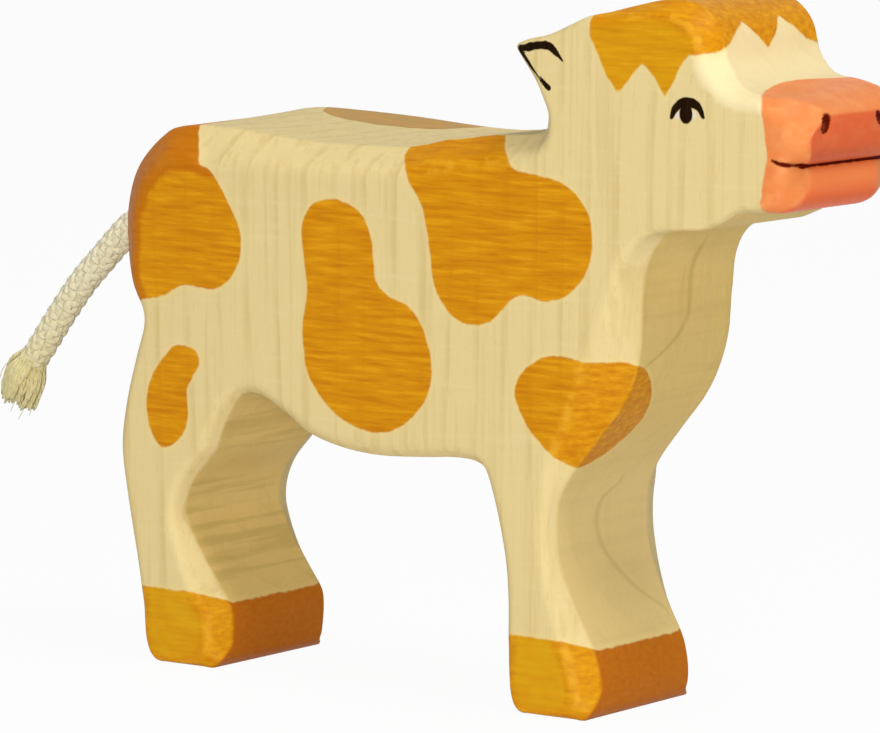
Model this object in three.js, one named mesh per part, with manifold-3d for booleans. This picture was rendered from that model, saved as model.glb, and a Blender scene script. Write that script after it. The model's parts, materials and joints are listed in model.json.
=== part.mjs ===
// A wooden calf figure: a block sawn from a plank and bevelled by hand, with a cord tail glued into its rump.
// Millimetres, +Z up, +X towards the muzzle. The origin lies under the middle of the wooden block.

import * as THREE from 'three';
import { mergeVertices } from 'three/addons/utils/BufferGeometryUtils.js';
import Module from 'manifold-3d';

const wasm = await Module();
wasm.setup();

// Plank and main proportions
const PLANK_THICKNESS = 24;
const LEG_HEIGHT = 30;
const TRUNK_DEPTH = 39.2;
const HEAD_RISE = 18.6;
const HEAD_DEPTH = 27.3;
const LEG_SPACING = 57.9;
const HIND_HOOF_LENGTH = 14;
const FRONT_HOOF_LENGTH = 12.7;
const NECK_REACH = 12.4;
const HEAD_LENGTH = 25;
const EAR_REACH = 16.8;

// Bevels cut along the sawn edges: width across the side face, and depth across the plank from either side
const BACK_BEVEL_WIDTH = 2.8;
const BACK_BEVEL_DEPTH = 3.2;
const BACK_FAR_DEPTH = 2;
const CROUP_BEVEL_WIDTH = 4.6;
const WITHERS_BEVEL_WIDTH = 3;
const RUMP_BEVEL_WIDTH = 3.6;
const RUMP_BEVEL_DEPTH = 3.2;
const BELLY_BEVEL = 1.2;
const LEG_BEVEL_WIDTH = 0.9;
const LEG_BEVEL_DEPTH = 2;
const LEG_FAR_DEPTH = 2.9;
const HOOF_BEVEL_WIDTH = 2.3;
const HOOF_BEVEL_DEPTH = 2.8;
const HOOF_FAR_DEPTH = 2.6;
const TOE_BEVEL_WIDTH = 2.1;
const SOLE_BEVEL_WIDTH = 0.25;
const SOLE_BEVEL_DEPTH = 1;
const CHEST_BEVEL_WIDTH = 6.6;
const CHEST_BEVEL_DEPTH = 3.2;
const CHEST_FAR_DEPTH = 2.4;
const NECK_BEVEL_WIDTH = 2.8;
const NECK_BEVEL_DEPTH = 3.1;
const NECK_FAR_DEPTH = 1.5;
const THROAT_BEVEL_WIDTH = 0.8;
const THROAT_BEVEL_DEPTH = 3.4;
const JAW_BEVEL_WIDTH = 0.3;
const JAW_BEVEL_DEPTH = 0.5;
const JAW_FAR_DEPTH = 2.2;
const CHIN_BEVEL_WIDTH = 0.7;
const CHIN_BEVEL_DEPTH = 1.6;
const LIP_BEVEL_WIDTH = 2.3;
const LIP_BEVEL_DEPTH = 3.4;
const LIP_FAR_DEPTH = 5.2;
const MUZZLE_BEVEL_WIDTH = 2.4;
const MUZZLE_BEVEL_DEPTH = 1.5;
const MUZZLE_FAR_DEPTH = 3.2;
const NOSE_TIP_BEVEL_WIDTH = 3.2;
const NOSE_TIP_BEVEL_DEPTH = 5.8;
const NOSE_BEVEL_WIDTH = 0.8;
const NOSE_BEVEL_DEPTH = 1;
const NOSE_FAR_DEPTH = 2.6;
const FACE_BEVEL_WIDTH = 1.8;
const FACE_BEVEL_DEPTH = 2.8;
const FACE_FAR_DEPTH = 1.2;
const EAR_BEVEL = 0.6;

// How far the sawn edge slants down towards the near side: at the middle of the back, the croup and the nose
const BACK_SLANT = 2.3;
const CROUP_SLANT = 1.3;
const NOSE_SLANT = 1.1;

// Tail cord and its glued hole
const CORD_DIAMETER = 4;
const CORD_SIDES = 10;
const CORD_STEP = 2 * CORD_DIAMETER;
const TAIL_HEIGHT = 56.4;
const TAIL_REACH = 22.2;
const TAIL_DROP = 20.8;
const HOLE_DEPTH = 11;
const HOLE_SIDES = 20;
const GLUE_THICKNESS = 1.2;
const TUFT_DIAMETER = 6.4;
const TUFT_LENGTH = 5.8;
const TUFT_SIDES = 14;
const TUFT_END_SHARE = 0.8;
const CLEARANCE = 0.3;

// Fineness of the sawn outline, and how many samples away its direction is measured
const OUTLINE_STEP = 1.4;
const DIRECTION_REACH = 3;

// Where a bevel would run into another edge, it keeps to this share of the room there
const CROWDING = 0.85;

// Lengths too small to matter, in millimetres
const NEGLIGIBLE = 1e-6;
const WELD_DISTANCE = 1e-4;

const HALF_PLANK = PLANK_THICKNESS / 2;
const CORD_RADIUS = CORD_DIAMETER / 2;
const HOLE_RADIUS = CORD_RADIUS + CLEARANCE;

// Materials
const woodMaterial = new THREE.MeshStandardMaterial({ color: 0xe2ce94, roughness: 0.55, metalness: 0 });
const cordMaterial = new THREE.MeshStandardMaterial({ color: 0xd7cda0, roughness: 0.9, metalness: 0 });
const tuftMaterial = new THREE.MeshStandardMaterial({ color: 0xdcd3ab, roughness: 0.95, metalness: 0 });
const glueMaterial = new THREE.MeshStandardMaterial({ color: 0xd8b46a, roughness: 0.35, metalness: 0 });

// Bevels by name; slant is how far the sawn edge falls from the far bevel to the near one
const bevel = (width, depth, farDepth = depth, slant = 0) => ({ width, depth, farDepth, slant });
const BACK = bevel(BACK_BEVEL_WIDTH, BACK_BEVEL_DEPTH, BACK_FAR_DEPTH, BACK_SLANT);
const CROUP = bevel(CROUP_BEVEL_WIDTH, BACK_BEVEL_DEPTH, BACK_FAR_DEPTH, CROUP_SLANT);
const WITHERS = bevel(WITHERS_BEVEL_WIDTH, BACK_BEVEL_DEPTH, BACK_FAR_DEPTH);
const RUMP = bevel(RUMP_BEVEL_WIDTH, RUMP_BEVEL_DEPTH);
const BELLY = bevel(BELLY_BEVEL, BELLY_BEVEL);
const LEG = bevel(LEG_BEVEL_WIDTH, LEG_BEVEL_DEPTH, LEG_FAR_DEPTH);
const HOOF = bevel(HOOF_BEVEL_WIDTH, HOOF_BEVEL_DEPTH, HOOF_FAR_DEPTH);
const TOE = bevel(TOE_BEVEL_WIDTH, SOLE_BEVEL_DEPTH, HOOF_FAR_DEPTH);
const SOLE = bevel(SOLE_BEVEL_WIDTH, SOLE_BEVEL_DEPTH);
const CHEST = bevel(CHEST_BEVEL_WIDTH, CHEST_BEVEL_DEPTH, CHEST_FAR_DEPTH);
const NECK = bevel(NECK_BEVEL_WIDTH, NECK_BEVEL_DEPTH, NECK_FAR_DEPTH);
const THROAT = bevel(THROAT_BEVEL_WIDTH, THROAT_BEVEL_DEPTH, JAW_FAR_DEPTH);
const JAW = bevel(JAW_BEVEL_WIDTH, JAW_BEVEL_DEPTH, JAW_FAR_DEPTH);
const CHIN = bevel(CHIN_BEVEL_WIDTH, CHIN_BEVEL_DEPTH, LIP_FAR_DEPTH);
const LIP = bevel(LIP_BEVEL_WIDTH, LIP_BEVEL_DEPTH, LIP_FAR_DEPTH);
const MUZZLE = bevel(MUZZLE_BEVEL_WIDTH, MUZZLE_BEVEL_DEPTH, MUZZLE_FAR_DEPTH);
const NOSE_TIP = bevel(NOSE_TIP_BEVEL_WIDTH, NOSE_TIP_BEVEL_DEPTH, NOSE_FAR_DEPTH);
const NOSE = bevel(NOSE_BEVEL_WIDTH, NOSE_BEVEL_DEPTH, NOSE_FAR_DEPTH, NOSE_SLANT);
const FACE = bevel(FACE_BEVEL_WIDTH, FACE_BEVEL_DEPTH, FACE_FAR_DEPTH);
const EAR = bevel(EAR_BEVEL, EAR_BEVEL);

// Levels and stations that the outline hangs on
const BACK_LEVEL = LEG_HEIGHT + TRUNK_DEPTH;
const CROWN_LEVEL = BACK_LEVEL + HEAD_RISE;
const JAW_LEVEL = CROWN_LEVEL - HEAD_DEPTH;
const HIND_STATION = 0;
const FRONT_STATION = HIND_STATION + LEG_SPACING;
const NECK_STATION = FRONT_STATION + NECK_REACH;

// Frames for outline points: u runs along the figure and v up it, both in shares of the frame's own sizes
const frame = (x, z, length, height) => (u, v, edge) => ({ x: x + u * length, z: z + v * height, edge });
const hindLeg = frame(HIND_STATION, 0, HIND_HOOF_LENGTH, LEG_HEIGHT);
const rump = frame(HIND_STATION, LEG_HEIGHT, HIND_HOOF_LENGTH, TRUNK_DEPTH);
const belly = frame(HIND_STATION, 0, LEG_SPACING, LEG_HEIGHT);
const back = frame(HIND_STATION, BACK_LEVEL, LEG_SPACING, TRUNK_DEPTH);
const frontLeg = frame(FRONT_STATION, 0, FRONT_HOOF_LENGTH, LEG_HEIGHT);
const chest = frame(FRONT_STATION, LEG_HEIGHT, NECK_REACH, JAW_LEVEL - LEG_HEIGHT);
const face = frame(NECK_STATION, JAW_LEVEL, HEAD_LENGTH, HEAD_DEPTH);
const crown = frame(NECK_STATION, BACK_LEVEL, EAR_REACH, HEAD_RISE);

// Ear tip, nape, back, rump and the rear of the hind leg, down to the heel
const REAR_LINE = [
  crown(-1.02, 0.67, EAR), crown(-0.975, 0.6), crown(-0.865, 0.47), crown(-0.785, 0.34, EAR),
  crown(-0.77, 0.22), crown(-0.82, 0.135), crown(-0.94, 0.095, WITHERS), back(0.82, 0.03),
  back(0.7, 0.008, WITHERS), back(0.6, 0.007), back(0.36, 0.031, BACK), back(0.2, 0.041),
  rump(0.5, 1.043), rump(0.27, 1.036, CROUP), rump(0.1, 1.022), rump(-0.25, 0.986, RUMP),
  rump(-0.63, 0.866), rump(-0.765, 0.738), rump(-0.775, 0.6, RUMP), rump(-0.665, 0.457),
  rump(-0.47, 0.372, LEG), rump(-0.56, 0.255), rump(-0.68, 0.107), hindLeg(-0.75, 0.93, LEG),
  hindLeg(-0.685, 0.7), hindLeg(-0.575, 0.44), hindLeg(-0.5, 0.24, LEG), hindLeg(-0.43, 0.11, SOLE),
  hindLeg(-0.375, 0.03), hindLeg(-0.3, 0, SOLE),
];

// Toe and front of the hind leg, groin, belly and the rear of the front leg, down to its heel
const UNDER_LINE = [
  hindLeg(0.34, 0, SOLE), hindLeg(0.425, 0.03, TOE), hindLeg(0.465, 0.1, HOOF), hindLeg(0.47, 0.245),
  hindLeg(0.385, 0.31), hindLeg(0.248, 0.395, HOOF), hindLeg(0.055, 0.545), hindLeg(-0.035, 0.66, LEG),
  hindLeg(0.06, 0.79), hindLeg(0.33, 0.935), hindLeg(0.46, 1.065, LEG), hindLeg(0.67, 1.185),
  hindLeg(0.87, 1.2, BELLY), belly(0.29, 1.13), belly(0.35, 1.06), belly(0.44, 1.012, BELLY),
  belly(0.54, 0.994), belly(0.66, 1.005), belly(0.755, 1.019), belly(0.81, 1.01, BELLY),
  frontLeg(-0.78, 0.985), frontLeg(-0.7, 0.9, LEG), frontLeg(-0.6, 0.75), frontLeg(-0.53, 0.6),
  frontLeg(-0.505, 0.45), frontLeg(-0.5, 0.25, LEG), frontLeg(-0.43, 0.09, SOLE), frontLeg(-0.39, 0.03),
  frontLeg(-0.32, 0, SOLE),
];

// Toe and front of the front leg, chest, neck, throat, jaw and lower lip, up to the mouth
const FRONT_LINE = [
  frontLeg(0.42, 0, SOLE), frontLeg(0.495, 0.03, TOE), frontLeg(0.525, 0.12, HOOF),
  frontLeg(0.465, 0.25), frontLeg(0.345, 0.345, HOOF), frontLeg(0.2, 0.475), frontLeg(0.075, 0.62, LEG),
  frontLeg(0.04, 0.745), frontLeg(0.07, 0.885, LEG), frontLeg(0.185, 0.985), chest(0.455, 0.125),
  chest(0.74, 0.27), chest(0.885, 0.385, CHEST), chest(0.965, 0.52), chest(0.99, 0.73, NECK),
  chest(1.05, 0.86), chest(1.2, 0.955, THROAT), face(0.25, 0, JAW), face(0.405, 0.012, JAW),
  face(0.51, 0.048), face(0.59, 0.09), face(0.71, 0.1, CHIN), face(0.84, 0.109, CHIN), face(0.9, 0.145),
  face(0.92, 0.21, LIP), face(0.922, 0.285), face(0.897, 0.309, LIP),
];

// Mouth, upper lip, nose, bridge, forehead, crown and the top of the ear, back to its tip
const FACE_LINE = [
  face(0.897, 0.309, LIP), face(0.955, 0.328), face(0.985, 0.375, MUZZLE), face(0.987, 0.44, MUZZLE),
  face(0.968, 0.53, NOSE_TIP), face(0.925, 0.576), face(0.86, 0.614), face(0.75, 0.639, NOSE),
  face(0.6, 0.657), face(0.52, 0.7, FACE), face(0.475, 0.77), face(0.45, 0.86), face(0.4, 0.93),
  face(0.31, 0.985, FACE), face(0.17, 1), face(-0.02, 0.967), crown(-0.22, 0.908),
  crown(-0.39, 0.876, EAR), crown(-0.56, 0.812), crown(-0.75, 0.745), crown(-0.93, 0.71),
  crown(-1.02, 0.67, EAR),
];

// A bevel part of the way from one to another
function mixBevels(from, to, share) {
  const mix = (size) => THREE.MathUtils.lerp(from[size], to[size], share);
  return bevel(mix('width'), mix('depth'), mix('farDepth'), mix('slant'));
}

// Every point of a line gets a bevel: those without one lie between the nearest two that have one
function fillBevels(line) {
  const known = line.map((point, index) => (point.edge ? index : -1)).filter((index) => index >= 0);
  return line.map((point, index) => {
    const before = known.filter((k) => k <= index).at(-1);
    const after = known.find((k) => k >= index);
    const share = after === before ? 0 : (index - before) / (after - before);
    return { ...point, edge: mixBevels(line[before].edge, line[after].edge, share) };
  });
}

// A smooth curve through a line's points, sampled at the outline step; the last point starts the next line
function sampleLine(line) {
  const points = fillBevels(line);
  const spots = points.map((p) => new THREE.Vector3(p.x, 0, p.z));
  const curve = new THREE.CatmullRomCurve3(spots, false, 'centripetal');
  const samples = [];
  for (let k = 0; k < points.length - 1; k += 1) {
    const here = points[k];
    const next = points[k + 1];
    const steps = Math.max(1, Math.round(Math.hypot(next.x - here.x, next.z - here.z) / OUTLINE_STEP));
    for (let j = 0; j < steps; j += 1) {
      const share = j / steps;
      const spot = curve.getPoint((k + share) / (points.length - 1));
      samples.push({ x: spot.x, z: spot.z, ...mixBevels(here.edge, next.edge, share) });
    }
  }
  return samples;
}

// Outline, anticlockwise as seen from the near side, centred over the origin
function makeOutline() {
  const hindSole = [REAR_LINE.at(-1), UNDER_LINE[0]];
  const frontSole = [UNDER_LINE.at(-1), FRONT_LINE[0]];
  const outline = [REAR_LINE, hindSole, UNDER_LINE, frontSole, FRONT_LINE, FACE_LINE].flatMap(sampleLine);
  const along = outline.map((p) => p.x);
  const middle = (Math.min(...along) + Math.max(...along)) / 2;
  return outline.map((p) => ({ ...p, x: p.x - middle }));
}

// Inward direction at each sample, and the bevel width that fits there without running into another edge
function addInsets(outline) {
  const count = outline.length;
  const spotAt = (index) => new THREE.Vector2(outline[index % count].x, outline[index % count].z);
  const room = outline.map((p, index) => {
    const along = spotAt(index + DIRECTION_REACH).sub(spotAt(index + count - DIRECTION_REACH)).normalize();
    p.inX = -along.y;
    p.inZ = along.x;
    const radii = outline.map((q) => {
      const dx = q.x - p.x;
      const dz = q.z - p.z;
      const ahead = dx * p.inX + dz * p.inZ;
      return ahead > NEGLIGIBLE ? (dx * dx + dz * dz) / (2 * ahead) : Infinity;
    });
    return CROWDING * Math.min(...radii);
  });
  return outline.map((p, index) => ({ ...p, width: Math.min(p.width, room[index] - p.slant) }));
}

// Side faces, bevels and sawn edge of the block as one closed mesh
function blockGeometry(outline) {
  const count = outline.length;
  const inset = (p, distance, y) => [p.x + p.inX * distance, y, p.z + p.inZ * distance];
  const rings = [
    outline.map((p) => inset(p, p.slant + p.width, -HALF_PLANK)),
    outline.map((p) => inset(p, p.slant, p.depth - HALF_PLANK)),
    outline.map((p) => inset(p, 0, HALF_PLANK - p.farDepth)),
    outline.map((p) => inset(p, p.width, HALF_PLANK)),
  ];
  const indices = [];
  for (let ring = 0; ring < rings.length - 1; ring += 1) {
    for (let i = 0; i < count; i += 1) {
      const a = ring * count + i;
      const b = ring * count + ((i + 1) % count);
      indices.push(a, a + count, b + count, a, b + count, b);
    }
  }
  const contour = rings[0].map(([x, , z]) => new THREE.Vector2(x, z));
  const farStart = (rings.length - 1) * count;
  for (const [a, b, c] of THREE.ShapeUtils.triangulateShape(contour, [])) {
    indices.push(a, b, c);
    indices.push(farStart + a, farStart + c, farStart + b);
  }
  const geometry = new THREE.BufferGeometry();
  geometry.setAttribute('position', new THREE.Float32BufferAttribute(rings.flat(2), 3));
  geometry.setIndex(indices);
  return geometry;
}

// Solids to cut and join, and back to geometry
function toSolid(geometry) {
  const bare = geometry.clone();
  bare.deleteAttribute('normal');
  bare.deleteAttribute('uv');
  const merged = mergeVertices(bare, WELD_DISTANCE);
  const vertProperties = Float32Array.from(merged.attributes.position.array);
  const triVerts = Uint32Array.from(merged.index.array);
  return new wasm.Manifold(new wasm.Mesh({ numProp: 3, vertProperties, triVerts }));
}

function toGeometry(solid) {
  const mesh = solid.getMesh();
  const geometry = new THREE.BufferGeometry();
  geometry.setAttribute('position', new THREE.Float32BufferAttribute(mesh.vertProperties, 3));
  geometry.setIndex(Array.from(mesh.triVerts));
  geometry.computeVertexNormals();
  return geometry;
}

// A rod along X, from one end to the other, at the height of the tail
function rodAlongX(radius, sides, startX, endX) {
  const rod = new THREE.CylinderGeometry(radius, radius, endX - startX, sides);
  rod.rotateZ(-Math.PI / 2);
  rod.translate((startX + endX) / 2, 0, TAIL_HEIGHT);
  return rod;
}

// Where the hole breaks out: the rearmost reach of the rump over the hole's height
function rumpFace(outline) {
  const beside = outline.filter((p) => p.x < 0 && Math.abs(p.z - TAIL_HEIGHT) < HOLE_RADIUS + OUTLINE_STEP);
  return Math.min(...beside.map((p) => p.x));
}

const outline = addInsets(makeOutline());
const rumpX = rumpFace(outline);
const holeEndX = rumpX + HOLE_DEPTH;
const glueEndX = holeEndX - CLEARANCE;
const glueStartX = glueEndX - GLUE_THICKNESS;
const rootEndX = glueStartX - CLEARANCE;
const pivotX = rumpX - CLEARANCE - CORD_RADIUS;

// The tail's route from its pivot, in shares of its reach and drop: straight out, then drooping
const TAIL_ROUTE = [
  [0, 0], [0.086, 0.017], [0.172, 0.06], [0.254, 0.125], [0.422, 0.293], [0.59, 0.466], [0.772, 0.697],
  [0.935, 0.923], [1, 1],
];

function tailCurve() {
  const points = TAIL_ROUTE.map(([out, down]) => (
    new THREE.Vector3(pivotX - out * TAIL_REACH, 0, TAIL_HEIGHT - down * TAIL_DROP)
  ));
  return new THREE.CatmullRomCurve3(points, false, 'centripetal');
}

function cordSection() {
  const corners = [];
  for (let side = 0; side < CORD_SIDES; side += 1) {
    const turn = (2 * Math.PI * side) / CORD_SIDES;
    corners.push(new THREE.Vector2(CORD_RADIUS * Math.cos(turn), CORD_RADIUS * Math.sin(turn)));
  }
  return new THREE.Shape(corners);
}

// Wooden block with its drilled tail hole
function makeBody() {
  const drill = rodAlongX(HOLE_RADIUS, HOLE_SIDES, rumpX - CORD_DIAMETER, holeEndX);
  return toGeometry(toSolid(blockGeometry(outline)).subtract(toSolid(drill)));
}

// Free stretch of the tail, with a rounded end at the pivot so that it can swing clear of the rump
function makeFreeCord(curve) {
  const steps = Math.ceil(curve.getLength() / CORD_STEP);
  const tube = new THREE.ExtrudeGeometry(cordSection(), { steps, bevelEnabled: false, extrudePath: curve });
  const knuckle = new THREE.SphereGeometry(CORD_RADIUS, CORD_SIDES, CORD_SIDES);
  knuckle.translate(pivotX, 0, TAIL_HEIGHT);
  return toGeometry(toSolid(tube).add(toSolid(knuckle)));
}

// Frayed end, as shares of its length against how far its strands have spread from the cord's width
const TUFT_SPREAD = [[0, 0], [0.35, 0.6], [0.7, 1]];

function makeTuft(curve) {
  const tuftRadius = TUFT_DIAMETER / 2;
  const profile = [
    new THREE.Vector2(0, 0),
    ...TUFT_SPREAD.map(([along, spread]) => (
      new THREE.Vector2(THREE.MathUtils.lerp(CORD_RADIUS, tuftRadius, spread), along * TUFT_LENGTH)
    )),
    new THREE.Vector2(tuftRadius * TUFT_END_SHARE, TUFT_LENGTH),
    new THREE.Vector2(0, TUFT_LENGTH),
  ];
  const tuft = new THREE.LatheGeometry(profile, TUFT_SIDES);
  const heading = curve.getTangent(1);
  const start = curve.getPoint(1).addScaledVector(heading, CLEARANCE);
  tuft.applyQuaternion(new THREE.Quaternion().setFromUnitVectors(new THREE.Vector3(0, 1, 0), heading));
  tuft.translate(start.x, start.y, start.z);
  return toGeometry(toSolid(tuft));
}

const calf = new THREE.Group();

function addPart(name, geometry, material) {
  const mesh = new THREE.Mesh(geometry, material);
  mesh.name = name;
  calf.add(mesh);
}

const tail = tailCurve();
addPart('wooden_body', makeBody(), woodMaterial);
addPart('tail_glue', rodAlongX(CORD_RADIUS, HOLE_SIDES, glueStartX, glueEndX), glueMaterial);
addPart('tail_root', rodAlongX(CORD_RADIUS, CORD_SIDES, rumpX, rootEndX), cordMaterial);
addPart('tail_cord', makeFreeCord(tail), cordMaterial);
addPart('tail_tuft', makeTuft(tail), tuftMaterial);

export default calf;
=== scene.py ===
import json
import math
import random
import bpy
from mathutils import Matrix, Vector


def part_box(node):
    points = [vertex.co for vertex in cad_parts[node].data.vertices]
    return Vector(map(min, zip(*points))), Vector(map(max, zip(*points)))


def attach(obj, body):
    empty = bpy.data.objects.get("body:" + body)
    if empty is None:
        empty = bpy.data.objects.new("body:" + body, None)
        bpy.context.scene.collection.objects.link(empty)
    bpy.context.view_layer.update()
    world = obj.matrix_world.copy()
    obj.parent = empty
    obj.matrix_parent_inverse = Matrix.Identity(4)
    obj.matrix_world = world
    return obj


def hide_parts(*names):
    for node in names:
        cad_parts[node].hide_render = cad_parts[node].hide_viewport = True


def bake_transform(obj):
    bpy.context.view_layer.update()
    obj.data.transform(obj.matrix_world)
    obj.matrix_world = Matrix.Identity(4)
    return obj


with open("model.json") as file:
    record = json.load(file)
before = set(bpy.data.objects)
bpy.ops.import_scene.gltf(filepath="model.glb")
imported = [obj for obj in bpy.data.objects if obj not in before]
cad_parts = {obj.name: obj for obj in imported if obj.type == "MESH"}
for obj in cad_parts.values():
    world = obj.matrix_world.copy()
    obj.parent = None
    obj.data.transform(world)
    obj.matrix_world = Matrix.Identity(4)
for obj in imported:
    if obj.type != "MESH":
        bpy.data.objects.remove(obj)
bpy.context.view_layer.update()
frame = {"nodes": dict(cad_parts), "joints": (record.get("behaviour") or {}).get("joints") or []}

from types import SimpleNamespace

import bmesh
import bpy
import numpy as np
from mathutils import Vector
from mathutils.geometry import delaunay_2d_cdt

# Shapes are worked out in millimetres in the CAD frame and turned to metres when a mesh is made.
# The near side is the side that the camera sees, at -Y. +X points to the muzzle.
MM = 0.001
SEED = 7

# Camera
IMAGE_WIDTH = 880
SENSOR_WIDTH = 36.0
FOCAL_PIXELS = 5177.0
CAMERA_AZIMUTH = math.radians(37.24)
CAMERA_ELEVATION = math.radians(7.125)
CAMERA_DISTANCE = 650.0
CAMERA_TARGET = (-9.05, 0.0, 39.97)
CLIP_RANGE = (0.01, 20.0)

# Wooden body: radius of its sanded corners along the creases and round the side faces, and where it changes
CORNER_RADIUS = 0.36
LIP_RADIUS = 1.0
FACE_RADIUS = 1.0
MUZZLE_RADIUS = 1.3
BACK_RADIUS = 1.5
CORNER_ROOM = 0.45
MUZZLE_START = 46.0
NOSE_RIDGE = 75.3
BACK_LOW = 60.0
BACK_END = 10.0

# How finely the body is divided, with a finer grid on the sides where thin lines are painted
OUTLINE_SPLIT = 3
CORNER_STEPS = 5
SPAN_STEPS = (8, 40, 8)
SIDE_GRID = 0.62
SIDE_GRID_CLEAR = 0.6 * SIDE_GRID
FINE_GRID = 0.14
FINE_GRID_CLEAR = 0.3
FINE_PATCHES = [((33.2, 72.6), (39.8, 77.0)), ((12.0, 76.0), (19.6, 82.8)), ((47.8, 68.0), (51.6, 70.6))]
OFF_CHART = 1e3

# Limits for taking points as one, the first two in metres
SAME_LEVEL = 1e-5
WELD = 1e-6
SAME_POINT = 1e-7

# Where the inner edge of the bevels is blended most, because the outline turns sharply
MOUTH_NOTCH = (50.62, 68.94)
CHEST_POINT = (27.0, 42.0)
HIND_TOE = (-36.2, 0.9)
FRONT_TOE = (22.1, 0.9)
BLEND_REACH = 6.0
BLEND_ELSEWHERE = 0.08
BLEND_PASSES = 10

# Paint: signed distances are kept up to this far from its edges, and its curves have so many steps a point
PAINT_REACH = 6.0
CURVE_STEPS = 8
MUZZLE_STEPS = 6
STROKE_STEPS = 5

# Painted spots: smooth closed outlines, in millimetres along X and Z on the side that carries them.
# Points that lie off the side continue over the edge, as if it were unrolled.
NEAR_SPOTS = {
    "thigh": [
        (-41.2, 41.4), (-39.1, 41), (-38.4, 39.4), (-39.4, 37.7), (-40.5, 35.8), (-40.3, 32.7), (-41, 30.2),
        (-43, 28.5), (-45, 28.2), (-46.5, 30), (-47.2, 33), (-46.8, 35.9), (-45.1, 38.9), (-42.7, 41.1),
    ],
    "belly": [
        (-14.6, 61.2), (-17.6, 61.5), (-20.3, 60.3), (-21.7, 57.5), (-21.1, 53), (-20.8, 49.5), (-21.5, 45.5),
        (-21.1, 40.9), (-19.7, 37.8), (-17, 35.2), (-13.5, 33.4), (-9.7, 32.8), (-6.3, 33.8), (-3.3, 36.1),
        (-1.5, 39.2), (-1.3, 42.4), (-2.6, 46.3), (-4.9, 48.9), (-8.4, 50.2), (-9.9, 51.9), (-10.3, 54.3),
        (-10.8, 57.4), (-12.3, 60),
    ],
    "shoulder": [
        (-5.8, 66.3), (-4.7, 64.3), (-2.9, 61.7), (-2, 58.8), (-1.5, 55.5), (-0.9, 52), (0.7, 49.4),
        (2.5, 47.9), (5, 47.3), (7.6, 47.9), (9.8, 49.7), (11.3, 51.1), (13, 51.5), (16, 51), (18.8, 51.7),
        (21.3, 53.7), (22.8, 56.8), (22.9, 59.7), (22, 62.5), (19.8, 64.7), (16.7, 65.9), (13.7, 66.3),
        (11.2, 66.8), (9.9, 68.2), (8.3, 70.2), (7.5, 73), (6, 80), (-5, 80), (-6.5, 72), (-6.9, 68.5),
    ],
    "chest": [
        (16.7, 44.3), (14.5, 43.5), (12.4, 41.9), (11.4, 39.7), (12, 37.7), (13.8, 35.1), (16, 33),
        (18.5, 31), (21, 29.5), (25, 29), (29, 31), (31, 35), (31, 39), (29.5, 42.5), (27, 43.8),
        (22, 43.9), (19.6, 44.4),
    ],
}
FAR_SPOTS = {
    "saddle": [
        (-35.5, 72), (-35, 67), (-33.5, 62), (-30, 57.5), (-25, 55), (-19, 55), (-14, 57.5), (-10.5, 62),
        (-8.5, 67), (-7, 72), (-8, 80), (-35, 80),
    ],
    "belly": [
        (-30, 49), (-26.5, 48), (-24.5, 44.5), (-21, 41.5), (-19, 38), (-21.5, 35.5), (-26, 36), (-30, 39),
        (-32.5, 44),
    ],
    "shoulder": [
        (6, 62), (10, 65.5), (16, 65), (20.5, 61), (22, 55.5), (20, 50), (15.5, 46.5), (10.5, 47.5),
        (9, 52), (5.5, 57),
    ],
    "foreleg": [(12.5, 37), (16, 39.5), (19.5, 37.5), (20, 33), (17.5, 29), (14, 27.5), (11.8, 31)],
    "thigh": [(-44, 41), (-41, 40.5), (-39.5, 37), (-40.5, 33), (-43, 30.5), (-45.3, 32.5), (-46, 37)],
}

# Rump: on each side as an outline, over the rump itself as everything behind a line and above a level.
# On the rounded edge one passes into the other over PAINT_OVERLAP.
NEAR_RUMP = [
    (-38.4, 65), (-36.7, 64.3), (-34.6, 61.9), (-32.8, 59.1), (-31.5, 56.3), (-31.7, 53.2), (-33.2, 50.5),
    (-36.2, 49), (-39.7, 49.2), (-41.8, 49), (-43.6, 47.9), (-46.5, 47.1), (-49.5, 46.6), (-62, 43),
    (-62, 95), (-38.4, 95), (-38.4, 75), (-38.4, 68),
]
FAR_RUMP = [
    (-40.8, 65.5), (-39.3, 61.5), (-38.4, 57), (-40, 54), (-43, 52.5), (-45.5, 49.5), (-49.5, 46.6),
    (-62, 43), (-62, 95), (-40.8, 95), (-40.8, 75), (-40.8, 68),
]
RUMP_FRONT = -38.4
RUMP_LEAN = 0.75
RUMP_LEAN_END = 3.2
RUMP_LOW = 46.4
RUMP_DARKENING = 0.85
PAINT_OVERLAP = 1.0

# Spot on the far edge of the back: where it ends on top of the back, as Y against X
BACK_SPOT_EDGE = [
    (-37, 14), (-33.4, 7), (-30.6, 5.1), (-27.3, 3.9), (-24.3, 3.5), (-21.4, 3.2), (-16.2, 3.4),
    (-13.5, 4.1), (-12, 5.6), (-10, 8), (-6, 14),
]
BACK_TOP = 66.0

# Forelock: zigzag on the sides, and across the forehead as heights against Y
HEAD_BASE = 74.0
LOCK_BACK = 22.5
LOCK_LOW = 76.0
LOCK_SIDE = [
    (LOCK_BACK, 83.2), (23.7, 81), (25, 78.5), (26, 77.2), (26.6, 76.5), (28.3, 78.4), (30.1, 80.3),
    (31.4, 79.2), (32.5, 77.8), (33.4, 76.4), (34.8, 78.5), (35.9, 80.6), (37.1, 81.9), (37.9, 81.5),
    (44, 81.5), (44, 95), (LOCK_BACK, 95),
]
LOCK_FRONT = [
    (-12, 81.5), (-9.7, 82), (-8.6, 82.5), (-4.2, 85.2), (0, 81.9), (4, 85.5), (8.7, 82.4), (10, 82.1),
    (12, 81.5),
]
LOCK_SLANT = 0.8
LOCK_GOLDEN = 0.6

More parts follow.
